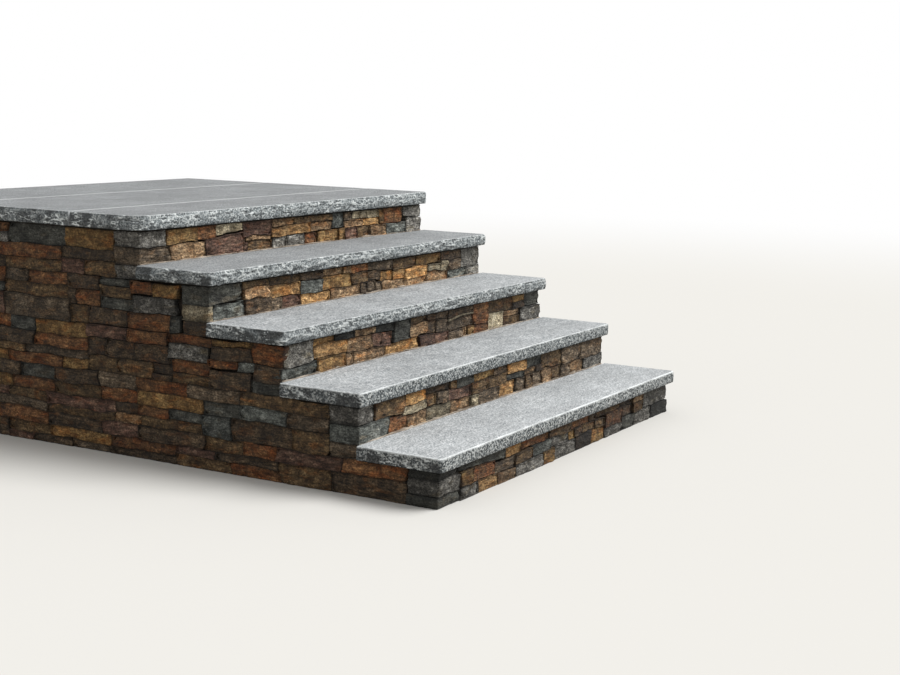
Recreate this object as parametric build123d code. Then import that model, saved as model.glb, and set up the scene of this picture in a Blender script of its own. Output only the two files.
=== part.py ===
from build123d import *

import os
from math import ceil, cos, pi, sin
from random import Random

# Outdoor stone steps: granite treads and a granite landing on ledgestone walls.
# All lengths are in millimetres. Steps are counted from the ground up.

# The flight
step_count = 5                 # four treads and the landing
rise = 190.5
going = 338.0
slab_width = 2134.0
landing_depth = 1524.0

# Granite slabs
tread_thickness = 51.0
landing_thickness = 57.0
front_overhang = 20.0          # nosing beyond the riser wall
side_overhang = 22.0           # slab ends beyond the side walls
landing_front_depth = 352.0    # front row of the landing
landing_middle_depth = 632.0   # second row, the third takes the rest

# Mortar
bed_thickness = 8.0
joint_width = 8.0
bed_recess = 6.0               # the bed is raked back from the wall faces
joint_recess = 1.0             # the joints are struck just below the slab tops

# Walls
wall_thickness = 130.0
corner_length = 170.0          # corner stones, along the riser

# Rock-pitched edges: flakes split off below the arris. The lowest treads are dressed
# almost flat, the upper ones are bold, and the landing lies between.
dressed_treads = 2
dressed_proud = 4.0            # how far the proudest flake stands out
bold_proud = 12.0
landing_proud = 9.0
pitch_spacing = 92.0           # length of one flake along the edge
corner_spacing = 31.0          # and round a corner
arris_wander = 1.5
tread_corner_radius = 14.0
landing_corner_radius = 80.0   # the landing's worn front left corner
lumpy_corner_radius = 22.0     # its front right corner

# How proud the split face stands at each level, as shares of its proudest flake:
# height below the arris as a share of the thickness, least, most
pitch_levels = [(0.22, 0.10, 0.75), (0.58, 0.35, 1.00), (1.0, 0.0, 0.62)]

# Worked-out places
half_slab = slab_width / 2
half_wall = half_slab - side_overhang
tread_depth = going + front_overhang - joint_width
landing_nosing = (step_count - 1) * going
back_face = landing_nosing + landing_depth


def nosing(step):
    # Y of the arris of a step's slab
    return (step - 1) * going


def riser_face(step):
    # Y of the face of the riser wall under a step's slab
    return nosing(step) + front_overhang


def slab_thickness(step):
    return landing_thickness if step == step_count else tread_thickness


def pitch_proud(step):
    # How far the proudest flake of a step's slab stands out
    if step == step_count:
        return landing_proud
    return dressed_proud if step <= dressed_treads else bold_proud


def wall_top(step):
    # Z where the walls and the core stop and the bed starts
    return step * rise - slab_thickness(step) - bed_thickness


def wall_foot(step):
    # Z where a riser wall starts: the ground, or the shelf of the core below
    return 0.0 if step == 1 else wall_top(step - 1)


def block(x_low, x_high, y_low, y_high, z_low, z_high):
    # A plain block between six planes
    size = (x_high - x_low, y_high - y_low, z_high - z_low)
    centre = ((x_low + x_high) / 2, (y_low + y_high) / 2, (z_low + z_high) / 2)
    return Pos(*centre) * Box(*size)


def straight_run(start, end):
    # Points along a straight edge, one flake apart, with its outward normal
    dx, dy = end[0] - start[0], end[1] - start[1]
    length = (dx * dx + dy * dy) ** 0.5
    count = max(2, ceil(length / pitch_spacing))
    normal = (dy / length, -dx / length)
    return [((start[0] + dx * i / count, start[1] + dy * i / count), normal) for i in range(count + 1)]


def corner_run(centre, radius, start_angle):
    # Points round a front corner, a quarter turn anticlockwise
    count = max(2, ceil(radius * pi / 2 / corner_spacing))
    points = []
    for i in range(1, count):
        angle = start_angle + pi / 2 * i / count
        normal = (cos(angle), sin(angle))
        points.append(((centre[0] + radius * normal[0], centre[1] + radius * normal[1]), normal))
    return points


def slab_edge(depth, front_pitched, left_radius, right_radius):
    # The arris seen from above, from the back left round the front to the back right.
    # Y is 0 at the front. Each point has the direction in which the stone is split.
    left_start = left_radius if front_pitched else 0.0
    right_start = right_radius if front_pitched else 0.0
    left = straight_run((-half_slab, depth), (-half_slab, left_start))
    right = straight_run((half_slab, right_start), (half_slab, depth))
    if not front_pitched:
        return left, [], right
    front = corner_run((left_radius - half_slab, left_radius), left_radius, pi)
    front += straight_run((left_radius - half_slab, 0), (half_slab - right_radius, 0))
    front += corner_run((half_slab - right_radius, right_radius), right_radius, -pi / 2)
    return left, front, right


def split_offsets(count, least, most, chance):
    # Random offsets for one level of one edge, stretched so that they run from least to most
    raw = [chance.random() for _ in range(count)]
    span = max(raw) - min(raw)
    return [least + (most - least) * (value - min(raw)) / span for value in raw]


def pitched_slab(step, seed, depth, front_pitched, left_radius, right_radius):
    # A granite slab with sawn top, bed and back, and rock-pitched edges.
    # Outlines at several heights are joined by a ruled loft, whose facets are the flakes.
    chance = Random(seed)
    proud, thickness = pitch_proud(step), slab_thickness(step)
    edges = slab_edge(depth, front_pitched, left_radius, right_radius)
    outlines = []
    for drop, least, most in [(0.0, 0.0, 0.0)] + pitch_levels:
        outline = []
        for edge in edges:
            if drop == 0.0:
                offsets = [-arris_wander * chance.random() for _ in edge]
            elif edge:
                offsets = split_offsets(len(edge), proud * least, proud * most, chance)
            for (point, normal), offset in zip(edge, offsets):
                outline.append((point[0] + normal[0] * offset, point[1] + normal[1] * offset, -thickness * drop))
        outlines.append(make_face(Polyline(*outline, close=True)))
    return loft(outlines, ruled=True)


def place(shape, y, z):
    return Pos(0, y, z) * shape


parts = {}

# Granite treads, each one slab
for step in range(1, step_count):
    tread = pitched_slab(step, step, tread_depth, True, tread_corner_radius, tread_corner_radius)
    parts[f"tread_{step}"] = place(tread, nosing(step), step * rise)

# The landing is three rows of slabs, and only the front row has a pitched nosing
landing_top = step_count * rise
landing_back_depth = landing_depth - landing_front_depth - landing_middle_depth - 2 * joint_width
middle_start = landing_nosing + landing_front_depth + joint_width
back_start = middle_start + landing_middle_depth + joint_width
landing_rows = [
    ("landing_front", landing_nosing, landing_front_depth, True),
    ("landing_middle", middle_start, landing_middle_depth, False),
    ("landing_back", back_start, landing_back_depth, False),
]
for seed, (node, start, depth, front_pitched) in enumerate(landing_rows, step_count):
    slab = pitched_slab(step_count, seed, depth, front_pitched, landing_corner_radius, lumpy_corner_radius)
    parts[node] = place(slab, start, landing_top)

# Mortar beds, each with an upstand that fills the joint behind its tread
half_bed = half_wall - bed_recess
for step in range(1, step_count):
    bed_front = riser_face(step) + bed_recess
    bed_back = riser_face(step + 1)
    bed = block(-half_bed, half_bed, bed_front, bed_back, wall_top(step), wall_top(step) + bed_thickness)
    upstand = block(
        -half_bed, half_bed, bed_back - joint_width, bed_back, wall_top(step), step * rise - joint_recess
    )
    parts[f"mortar_bed_{step}"] = bed + upstand

# The landing's bed, with the two joints between its rows
landing_bed = block(
    -half_bed, half_bed, riser_face(step_count) + bed_recess, back_face,
    wall_top(step_count), wall_top(step_count) + bed_thickness,
)
for joint_back in (middle_start, back_start):
    landing_bed += block(
        -half_bed, half_bed, joint_back - joint_width, joint_back,
        wall_top(step_count), landing_top - joint_recess,
    )
parts["landing_bed"] = landing_bed

# Riser walls with a stack of corner stones at each end
corner_inner = half_wall - corner_length
for step in range(1, step_count + 1):
    low, high = wall_foot(step), wall_top(step)
    front, back = riser_face(step), riser_face(step) + wall_thickness
    parts[f"riser_wall_{step}"] = block(-corner_inner, corner_inner, front, back, low, high)
    parts[f"left_corner_{step}"] = block(-half_wall, -corner_inner, front, back, low, high)
    parts[f"right_corner_{step}"] = block(corner_inner, half_wall, front, back, low, high)

# Side walls and the core, one length under each slab. The next riser stands on their back ends.
wall_inner = half_wall - wall_thickness
for step in range(1, step_count + 1):
    front = riser_face(step) + wall_thickness
    back = back_face - wall_thickness if step == step_count else front + going
    high = wall_top(step)
    parts[f"left_wall_{step}"] = block(-half_wall, -wall_inner, front, back, 0, high)
    parts[f"right_wall_{step}"] = block(wall_inner, half_wall, front, back, 0, high)
    parts[f"core_{step}"] = block(-wall_inner, wall_inner, front, back, 0, high)

# The back wall, where the landing meets the house
back_front = back_face - wall_thickness
back_high = wall_top(step_count)
parts["back_wall"] = block(-corner_inner, corner_inner, back_front, back_face, 0, back_high)
parts["back_left_corner"] = block(-half_wall, -corner_inner, back_front, back_face, 0, back_high)
parts["back_right_corner"] = block(corner_inner, half_wall, back_front, back_face, 0, back_high)

# The origin is in the middle of the footprint, which runs from the lowest nosing's flakes to the back face
origin_y = (back_face - pitch_proud(1)) / 2

os.makedirs("parts", exist_ok=True)
for node, shape in parts.items():
    export_step(place(shape, -origin_y, 0), f"parts/{node}.step")
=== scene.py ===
import math

import bpy
import numpy as np
from mathutils import Matrix, Vector


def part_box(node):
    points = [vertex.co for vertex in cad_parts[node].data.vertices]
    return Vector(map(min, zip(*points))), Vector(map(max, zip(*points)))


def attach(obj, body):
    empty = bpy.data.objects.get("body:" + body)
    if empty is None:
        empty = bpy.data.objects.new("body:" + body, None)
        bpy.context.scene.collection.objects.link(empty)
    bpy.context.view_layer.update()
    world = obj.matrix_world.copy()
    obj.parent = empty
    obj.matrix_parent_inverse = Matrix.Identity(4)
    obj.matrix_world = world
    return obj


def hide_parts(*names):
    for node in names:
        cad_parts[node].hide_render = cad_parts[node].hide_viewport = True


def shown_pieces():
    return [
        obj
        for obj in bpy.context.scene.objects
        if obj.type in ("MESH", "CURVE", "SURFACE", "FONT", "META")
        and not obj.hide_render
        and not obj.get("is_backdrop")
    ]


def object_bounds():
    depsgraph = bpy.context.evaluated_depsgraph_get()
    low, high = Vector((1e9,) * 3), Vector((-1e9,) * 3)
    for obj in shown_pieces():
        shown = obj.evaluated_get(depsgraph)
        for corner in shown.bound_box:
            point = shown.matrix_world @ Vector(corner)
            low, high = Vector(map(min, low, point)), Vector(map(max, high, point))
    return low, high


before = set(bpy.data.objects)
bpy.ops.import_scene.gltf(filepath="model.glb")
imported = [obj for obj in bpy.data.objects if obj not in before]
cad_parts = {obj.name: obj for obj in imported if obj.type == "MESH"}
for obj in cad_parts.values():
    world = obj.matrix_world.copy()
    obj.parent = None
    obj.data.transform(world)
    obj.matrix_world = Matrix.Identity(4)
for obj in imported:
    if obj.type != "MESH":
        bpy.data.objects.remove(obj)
cadLow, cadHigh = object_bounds()
print("frame loaded,", len(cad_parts), "nodes")

mm = 0.001
stepCount = 5
up = np.array((0.0, 0.0, 1.0))


# Seeded noise on whole arrays of points

hashPrimes = (73856093, 19349663, 83492791)      # one for each axis
seedPrime = 2654435761
hashMixers = (739982445, 695872825)
lowBits = 0xFFFFFFFF


def latticeHash(cells, seed):
    # a number from 0 to 1 for each lattice cell: indices and seed times large primes, with bits mixed twice
    n = seed * seedPrime
    for axis, prime in enumerate(hashPrimes):
        n = n ^ cells[:, axis] * prime
    n = n & lowBits
    n = ((n ^ (n >> 15)) * hashMixers[0]) & lowBits
    n = ((n ^ (n >> 12)) * hashMixers[1]) & lowBits
    return (n ^ (n >> 15)) / lowBits


def smoothNoise(points, size, seed):
    # value noise from -1 to 1: hashed lattice corners, blended by a smooth step along each axis
    place = points / size
    base = np.floor(place).astype(np.int64)
    share = place - base
    share = share * share * (3 - 2 * share)
    total = np.zeros(len(points))
    for corner in np.ndindex(2, 2, 2):
        weight = np.prod(np.where(corner, share, 1 - share), axis=1)
        total += weight * latticeHash(base + np.array(corner), seed)
    return total * 2 - 1


def fractalNoise(points, size, octaves, seed):
    # smooth noise summed over octaves, each half the size and half the height of the last
    return sum(smoothNoise(points, size / 2 ** i, seed + i) / 2 ** i for i in range(octaves))


def smoothStep(low, high, value):
    # 0 below low, 1 above high, and an even S between
    t = np.clip((value - low) / (high - low), 0, 1)
    return t * t * (3 - 2 * t)


# Objects, and meshes from arrays

def putObject(name, data):
    made = bpy.data.objects.new(name, data)
    bpy.context.scene.collection.objects.link(made)
    return made


def putMesh(name, surface, materials):
    # surface holds points, smooth faces and flat caps (lists of arrays of corners, each array for polygons of
    # one size), the material numbers of them all, and point attributes
    mesh = bpy.data.meshes.new(name)
    mesh.vertices.add(len(surface["points"]))
    mesh.vertices.foreach_set("co", surface["points"].astype(np.float32).ravel())
    polygons = surface["faces"] + surface["caps"]
    sizes = np.concatenate([np.full(len(f), f.shape[1]) for f in polygons])
    corners = np.concatenate([f.ravel() for f in polygons])
    smooth = np.arange(len(sizes)) < sum(len(f) for f in surface["faces"])
    mesh.loops.add(len(corners))
    mesh.loops.foreach_set("vertex_index", corners.astype(np.int32))
    mesh.polygons.add(len(sizes))
    mesh.polygons.foreach_set("loop_start", (np.cumsum(sizes) - sizes).astype(np.int32))
    mesh.polygons.foreach_set("material_index", np.concatenate(surface["kinds"]).astype(np.int32))
    mesh.polygons.foreach_set("use_smooth", smooth)
    for key, values in surface["attributes"].items():
        kind, field = ("FLOAT_VECTOR", "vector") if values.ndim == 2 else ("FLOAT", "value")
        attribute = mesh.attributes.new(key, kind, "POINT")
        attribute.data.foreach_set(field, values.astype(np.float32).ravel())
    mesh.update(calc_edges=True)
    for material in materials:
        mesh.materials.append(material)
    return putObject(name, mesh)


# Materials

def linear(hexColour):
    # an sRGB hex colour as linear red, green, blue and alpha 1
    values = [int(hexColour[i:i + 2], 16) / 255 for i in (1, 3, 5)]
    return [v / 12.92 if v <= 0.04045 else ((v + 0.055) / 1.055) ** 2.4 for v in values] + [1.0]


def addNode(tree, kind, inputs=None, stops=None, **settings):
    # one node with its settings, its ramp stops and its inputs: each a value, another node's output, or
    # another node, for its first output
    made = tree.nodes.new("ShaderNode" + kind)
    for key, value in settings.items():
        setattr(made, key, value)
    for key, value in (inputs or {}).items():
        if isinstance(value, bpy.types.Node):
            value = value.outputs[0]
        if isinstance(value, bpy.types.NodeSocket):
            tree.links.new(value, made.inputs[key])
        else:
            made.inputs[key].default_value = value
    for i, (place, colour) in enumerate(stops or ()):
        element = made.color_ramp.elements[i] if i < 2 else made.color_ramp.elements.new(place)
        element.position = place
        element.color = linear(colour)
    return made


def newMaterial(name):
    material = bpy.data.materials.new(name)
    material.use_nodes = True
    material.node_tree.nodes.clear()
    return material, material.node_tree


def finishMaterial(tree, colour, height, bump, roughness, specular=0.5, strength=1.0):
    # the shader at the end of each stone's tree, with bump heights in mm
    normal = addNode(tree, "Bump", {"Strength": strength, "Distance": bump * mm, "Height": height})
    shader = addNode(tree, "BsdfPrincipled", {
        "Base Color": colour, "Roughness": roughness, "Normal": normal, "Specular IOR Level": specular})
    addNode(tree, "OutputMaterial", {"Surface": shader})


# Ledgestone kinds: four colours (dark, middle, light and iron stain), the width of the colour patches in mm,
# how strongly grain and bedding show, how much is stained, and how far the split face is layered (0 massive,
# 1 slaty)
stoneTraits = ("colours", "patch", "grain", "bedding", "stain", "layered")
stoneKinds = {name: dict(zip(stoneTraits, traits)) for name, *traits in (
    ("ochreSandstone", ("#4e3920", "#7d613c", "#a58859", "#8c5827"), 34, 0.80, 0.30, 0.30, 0.25),
    ("goldenSandstone", ("#6a4e2d", "#95734a", "#bd9b6c", "#9c652d"), 30, 0.80, 0.25, 0.32, 0.2),
    ("rustSchist", ("#3b281a", "#6b4c32", "#926b46", "#76401d"), 30, 0.88, 0.50, 0.42, 0.6),
    ("tanQuartzite", ("#55412c", "#80674c", "#ab9171", "#8a5a2d"), 28, 0.95, 0.28, 0.24, 0.2),
    ("brownGneiss", ("#2f2317", "#584630", "#7c6648", "#6e4521"), 30, 0.88, 0.50, 0.26, 0.5),
    ("umberSchist", ("#231b14", "#44382b", "#655440", "#5a3a1e"), 32, 0.95, 0.60, 0.24, 0.8),
    ("purpleSchist", ("#33251b", "#60473b", "#816856", "#6d4129"), 36, 0.82, 0.52, 0.20, 0.6),
    ("charcoalSlate", ("#21211e", "#3f3f3a", "#5e5e57", "#4a4030"), 36, 0.85, 0.42, 0.12, 0.5),
    ("blueGreySlate", ("#393b38", "#5b5e59", "#82847e", "#665a45"), 36, 0.88, 0.45, 0.14, 0.4),
    ("greyGranite", ("#3c3a36", "#65625c", "#97948d", "#6b6048"), 26, 1.05, 0.15, 0.12, 0.1),
    ("drabGneiss", ("#352c21", "#5b4e3f", "#81725f", "#654c32"), 34, 0.95, 0.50, 0.22, 0.5),
    ("creamQuartzite", ("#6d624c", "#978b73", "#c2b79d", "#8d7048"), 30, 0.85, 0.25, 0.18, 0.15),
)}
kindNames = list(stoneKinds)
hearting = len(kindNames)      # material number of the mortar that the stones are bedded in
ledgestoneLook = dict(
    layer=50.0,                # sizes in mm: level bedding streaks
    mottle=18.0,
    crystal=8.0,
    speck=5.5,
    flake=19.0,
    flakeBend=9.0,             # how far the crystals bend the outlines of the flakes
    bloom=64.0,                # blooms of iron stain
    bloomShare=0.66,           # how strongly they colour the stone
    bloomRange=(0.62, 0.80),   # noise values where they start and are full on a stone with no stain,
    bloomReach=0.40,           # and by how much stain = 1 lowers them
    sideShade=0.55,            # painted shade on the sides of the stones, deep in the joints
    bump=3.6,
    roughness=0.82,
    specular=0.35,
)


def ledgestone(name, kind, look):
    # Split sedimentary or metamorphic stone: cloudy patches of colour with blooms of iron stain, mottles,
    # level bedding streaks and a dry, rough face. Its fine crystals are drawn at 5 to 8 mm so that they show.
    material, tree = newMaterial(name)
    *colours, ironColour = kind["colours"]
    grain, bedding = kind["grain"], kind["bedding"]
    shift, shade, rim = (addNode(tree, "Attribute", attribute_name=key).outputs[output] for key, output in (
        ("stoneShift", "Vector"), ("shade", "Fac"), ("rim", "Fac")))
    place = addNode(tree, "VectorMath", {0: addNode(tree, "TexCoord").outputs["Object"], 1: shift})
    streaked = addNode(tree, "Mapping", {"Vector": place, "Scale": (1.0, 1.0, 6.0)})
    level = addNode(tree, "Mapping", {"Vector": place, "Scale": (0.75, 0.75, 1.9)})
    cloud, layers, mottles, crystals, iron = (addNode(tree, "TexNoise", {
        "Vector": where, "Scale": 1 / (size * mm), "Detail": detail, "Roughness": rough, "Distortion": bend,
    }) for where, size, detail, rough, bend in (
        (place, 1.5 * kind["patch"], 3.0, 0.55, 0.6), (streaked, look["layer"], 4.0, 0.6, 0.0),
        (level, look["mottle"], 2.0, 0.5, 0.0), (level, look["crystal"], 3.0, 0.72, 0.0),
        (level, look["bloom"], 3.0, 0.5, 0.6)))
    bent = addNode(tree, "VectorMath", {
        0: crystals.outputs["Color"], 1: (look["flakeBend"] * mm,) * 3, 2: level}, operation="MULTIPLY_ADD")
    specks, flakes = (addNode(tree, "TexVoronoi", {
        "Vector": where, "Scale": 1 / (size * mm), "Randomness": 1.0,
    }) for where, size in ((place, look["speck"]), (bent, look["flake"])))
    speck, flake = (addNode(tree, "SeparateColor", {0: cells.outputs["Color"]}) for cells in (specks, flakes))
    tone = addNode(tree, "ValToRGB", {"Fac": cloud}, zip((0.25, 0.48, 0.74), colours))
    start, full = (value - look["bloomReach"] * kind["stain"] for value in look["bloomRange"])
    stained = addNode(tree, "MapRange", {
        "Value": iron, "From Min": start, "From Max": full, "To Min": 0.0, "To Max": look["bloomShare"]})
    colour = addNode(tree, "Mix", {"Factor": stained, "A": tone, "B": linear(ironColour)}, data_type="RGBA")
    # each pattern makes the stone darker or paler: what it reads, from and to which values, the shares of
    # the tone that it gives there, and whether it stops at them
    amount = shade
    for value, low, high, lowShare, highShare, clamp in (
            (layers, 0.34, 0.66, 1 - bedding, 1 + 0.6 * bedding, True),
            (mottles, 0.36, 0.64, 0.88, 1.16, False),
            (crystals, 0.33, 0.67, 1 - 0.68 * grain, 1 + 0.68 * grain, True),
            (speck, 0.0, 1.0, 1 - 0.48 * grain, 1 + 0.56 * grain, True),
            # each flake is paler or darker at random: partly the stone's own tone, partly painted light and
            # shade of facets
            (flake, 0.0, 1.0, 0.80, 1.24, True),
            # painted shade on the sides of the stones, in the joints
            (rim, 0.0, 1.0, 1.0, look["sideShade"], True)):
        share = addNode(tree, "MapRange", {
            "Value": value, "From Min": low, "From Max": high, "To Min": lowShare, "To Max": highShare,
        }, clamp=clamp)
        amount = addNode(tree, "Math", {0: amount, 1: share}, operation="MULTIPLY")
    colour = addNode(tree, "VectorMath", {0: colour.outputs["Result"], 3: amount}, operation="SCALE")
    grit = addNode(tree, "Math", {0: crystals, 1: layers}, operation="ADD")
    for pattern, weight in ((mottles, 1.6), (flakes, -1.3)):
        grit = addNode(tree, "Math", {0: pattern, 1: weight, 2: grit}, operation="MULTIPLY_ADD")
    finishMaterial(tree, colour, grit, look["bump"], look["roughness"], look["specular"])
    return material


rockFaceLook = dict(
    crystal=5.5,               # sizes in mm
    crystalBend=(4.0, 6.0),    # how far their outlines wobble, and over which length
    cloud=18.0,
    cloudShare=0.8,            # how far darker and paler crystals gather in patches
    middle=0.54,               # the value of the middle tone, from which a slab's own grainShare stretches
    tones=((0.06, "#2c3234"), (0.28, "#565d5f"), (0.54, "#7b8183"), (0.80, "#a1a6a6"), (1.0, "#cbcecb")),
    bruise="#d3d7d5",
    bruiseShare=0.76,
    # painted shade in the hollows of the face
    hollowShade=0.36,
    # the arris is nearly white, as wear and painted highlight
    arris="#eff3f3",
    bump=1.4,
    roughness=0.62,
)


def graniteRockFace(look):
    # Grey granite split with a pitching tool: black mica and white feldspar crystals, drawn at 5 to 6 mm so
    # that they show, bruised white along the flakes' edges, darker in the hollows as painted shade, and
    # nearly white on the arris as wear and painted highlight.
    material, tree = newMaterial("graniteRockFace")
    place = addNode(tree, "TexCoord").outputs["Object"]
    grainShare, ridge, shade, arris = (addNode(tree, "Attribute", attribute_name=key).outputs["Fac"]
                                       for key in ("grainShare", "ridge", "shade", "arris"))
    bend, bendSize = look["crystalBend"]
    wobble = addNode(tree, "TexNoise", {"Vector": place, "Scale": 1 / (bendSize * mm), "Detail": 2.0})
    bent = addNode(tree, "VectorMath", {
        0: wobble.outputs["Color"], 1: (bend * mm,) * 3, 2: place}, operation="MULTIPLY_ADD")
    crystals = addNode(tree, "TexVoronoi", {
        "Vector": bent, "Scale": 1 / (look["crystal"] * mm), "Randomness": 1.0})
    crystal = addNode(tree, "SeparateColor", {0: crystals.outputs["Color"]})
    cloud = addNode(tree, "TexNoise", {
        "Vector": place, "Scale": 1 / (look["cloud"] * mm), "Detail": 3.0, "Roughness": 0.6})
    cloud = addNode(tree, "Math", {
        0: cloud, 1: look["cloudShare"], 2: -0.5 * look["cloudShare"]}, operation="MULTIPLY_ADD")
    value = addNode(tree, "Math", {0: crystal, 1: cloud}, operation="ADD")
    value = addNode(tree, "Math", {0: value, 1: look["middle"]}, operation="SUBTRACT")
    value = addNode(tree, "Math", {0: value, 1: grainShare, 2: look["middle"]}, operation="MULTIPLY_ADD")
    tone = addNode(tree, "ValToRGB", {"Fac": value}, look["tones"])
    bruised, hollow = (addNode(tree, "MapRange", {
        "Value": ridge, "From Min": low, "From Max": high, "To Min": lowShare, "To Max": highShare,
    }) for low, high, lowShare, highShare in (
        (0.15, 1.0, 0.0, look["bruiseShare"]), (-1.0, 0.0, look["hollowShade"], 1.0)))
    colour = addNode(tree, "Mix", {
        "Factor": bruised, "A": tone, "B": linear(look["bruise"])}, data_type="RGBA")
    amount = addNode(tree, "Math", {0: hollow, 1: shade}, operation="MULTIPLY")
    colour = addNode(tree, "VectorMath", {0: colour.outputs["Result"], 3: amount}, operation="SCALE")
    colour = addNode(tree, "Mix", {
        "Factor": arris, "A": colour, "B": linear(look["arris"])}, data_type="RGBA")
    grit = addNode(tree, "Math", {0: wobble, 1: crystal}, operation="ADD")
    finishMaterial(tree, colour.outputs["Result"], grit, look["bump"], look["roughness"])
    return material


thermalTopLook = dict(
    crystal=7.0,               # sizes in mm
    drift=24.0,                # drifts of lighter and darker stone along the slab
    cloud=260.0,
    tones=((0.33, "#6f7577"), (0.48, "#abafb1"), (0.64, "#e4e5e5")),
    driftShares=(0.84, 1.13),  # by which the drifts and the clouds change the tone
    cloudShares=(0.87, 1.10),
    mortar="#cdd0d1",          # smeared along the joints
    mortarShare=0.75,
    smear=19.0,                # how wide at most, on each side of the joint's middle, and 1 mm at least
    bump=0.8,
    bumpStrength=0.7,
    roughness=0.72,            # damp after rain
    specular=0.25,
)


def graniteThermalTop(joints, look):
    # Granite flamed to an even, finely pitted top: pale blue-grey crystals, drawn at 7 mm so that they show,
    # drifts of lighter and darker stone, and mortar along the joints, which lie at the given places along Y.
    material, tree = newMaterial("graniteThermalTop")
    place = addNode(tree, "TexCoord").outputs["Object"]
    along = addNode(tree, "Mapping", {"Vector": place, "Scale": (0.30, 1.0, 1.0)})
    crystals, drifts, clouds = (addNode(tree, "TexNoise", {
        "Vector": where, "Scale": 1 / (size * mm), "Detail": detail, "Roughness": rough,
    }) for where, size, detail, rough in (
        (place, look["crystal"], 3.0, 0.7), (along, look["drift"], 3.0, 0.55),
        (place, look["cloud"], 4.0, 0.6)))
    amount = addNode(tree, "Attribute", attribute_name="shade").outputs["Fac"]
    for value, low, high, shares in (
            (drifts, 0.3, 0.7, look["driftShares"]), (clouds, 0.35, 0.65, look["cloudShares"])):
        share = addNode(tree, "MapRange", {
            "Value": value, "From Min": low, "From Max": high, "To Min": shares[0], "To Max": shares[1]})
        amount = addNode(tree, "Math", {0: amount, 1: share}, operation="MULTIPLY")
    tone = addNode(tree, "ValToRGB", {"Fac": crystals}, look["tones"])
    colour = addNode(tree, "VectorMath", {0: tone, 3: amount}, operation="SCALE")
    back = addNode(tree, "SeparateXYZ", {0: place}).outputs["Y"]
    ragged = addNode(tree, "Math", {
        0: drifts, 1: (1 - look["smear"]) * mm, 2: look["smear"] * mm}, operation="MULTIPLY_ADD")
    for joint in joints:
        away = addNode(tree, "Math", {0: back, 1: joint}, operation="SUBTRACT")
        away = addNode(tree, "Math", {0: away}, operation="ABSOLUTE")
        smeared = addNode(tree, "Math", {0: away, 1: ragged}, operation="LESS_THAN")
        smeared = addNode(tree, "Math", {0: smeared, 1: look["mortarShare"]}, operation="MULTIPLY")
        colour = addNode(tree, "Mix", {
            "Factor": smeared, "A": colour, "B": linear(look["mortar"])}, data_type="RGBA").outputs["Result"]
    finishMaterial(tree, colour, crystals, look["bump"], look["roughness"], look["specular"],
                   look["bumpStrength"])
    return material


def sandyMortar(name, colours, roughness, paintedShadeColour=None):
    # Sand and cement mortar: 3.5 mm sand grains in a matt paste with 70 mm clouds, from dark to light. Where
    # another colour is given, all faces but the top ones have it, as painted shade under the slabs.
    material, tree = newMaterial(name)
    place = addNode(tree, "TexCoord").outputs["Object"]
    sand, cloud = (addNode(tree, "TexNoise", {
        "Vector": place, "Scale": 1 / (size * mm), "Detail": 3.0, "Roughness": rough,
    }) for size, rough in ((3.5, 0.7), (70, 0.5)))
    value = addNode(tree, "Math", {0: sand, 1: cloud}, operation="ADD")
    value = addNode(tree, "Math", {0: value, 1: 0.5}, operation="MULTIPLY")
    colour = addNode(tree, "ValToRGB", {"Fac": value}, zip((0.38, 0.5, 0.60), colours))
    if paintedShadeColour:
        # painted shade on all faces but the top ones
        facing = addNode(tree, "NewGeometry").outputs["True Normal"]
        upward = addNode(tree, "SeparateXYZ", {0: facing}).outputs["Z"]
        upward = addNode(tree, "Math", {0: upward, 1: 0.5}, operation="GREATER_THAN")
        colour = addNode(tree, "Mix", {
            "Factor": upward, "A": linear(paintedShadeColour), "B": colour}, data_type="RGBA").outputs["Result"]
    finishMaterial(tree, colour, sand, 1.5, roughness, 0.3)
    return material


landingJoints = [(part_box(front)[1][1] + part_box(back)[0][1]) / 2 for front, back in (
    ("landing_front", "landing_middle"), ("landing_middle", "landing_back"))]
thermalTop = graniteThermalTop(landingJoints, thermalTopLook)
rockFace = graniteRockFace(rockFaceLook)
ledgestones = [ledgestone(name, kind, ledgestoneLook) for name, kind in stoneKinds.items()]
beddingMortar = sandyMortar("beddingMortar", ("#1d1915", "#332c26", "#4b4239"), 0.95)    # damp, and darkened as painted shade in the joints
pointingMortar = sandyMortar("pointingMortar", ("#6d6154", "#94887a", "#bdb1a2"), 0.9)   # struck joints
# the beds' faces other than their tops take #2c2721, painted shade under the slabs
slabBedMortar = sandyMortar("slabBedMortar", ("#857d73", "#a59c90", "#c3bbae"), 0.9, "#2c2721")
coreConcrete = sandyMortar("coreConcrete", ("#6f6c67", "#8b8781", "#a5a19a"), 0.9)       # block and rubble
print("materials made:", len(bpy.data.materials))


# Granite slabs

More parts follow.
